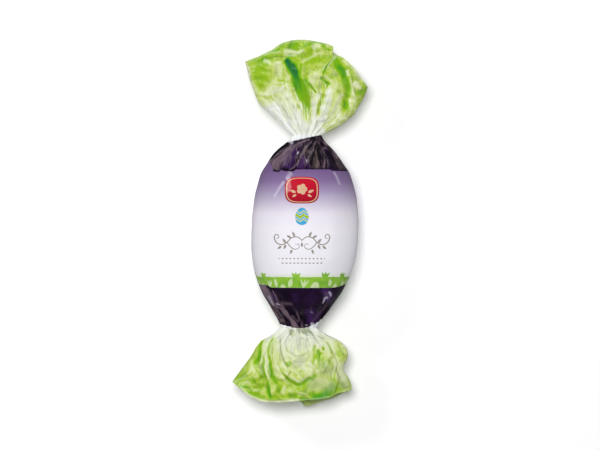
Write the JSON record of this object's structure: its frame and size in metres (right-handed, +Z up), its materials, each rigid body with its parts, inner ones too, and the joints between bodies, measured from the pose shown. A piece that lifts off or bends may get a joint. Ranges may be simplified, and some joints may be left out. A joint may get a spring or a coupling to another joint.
{
  "type": "marzipan egg",
  "caption": "Chocolate-coated marzipan egg in a twist wrap of printed film, lying on its belly: a pleated egg-shaped body between two ruffled, fanned-out film tails.",
  "frame": {"origin": "on the small flat spot under the egg, below its widest ring", "axes": "+Y along the egg towards the upper tail, +Z up to the shown side, +X to the shown side's right"},
  "size_m": [0.0585, 0.159, 0.0449],
  "materials": {
    "egg_film": "glossy printed film: near-black purple ends, lilac to white label, green leaf strip",
    "tail_film": "glossy crumpled film, white at the neck to bright green at the mouth"
  },
  "bodies": {
    "root": {"wrapped_egg": "egg_film", "upper_tail": "tail_film", "lower_tail": "tail_film"}
  },
  "joints": []
}
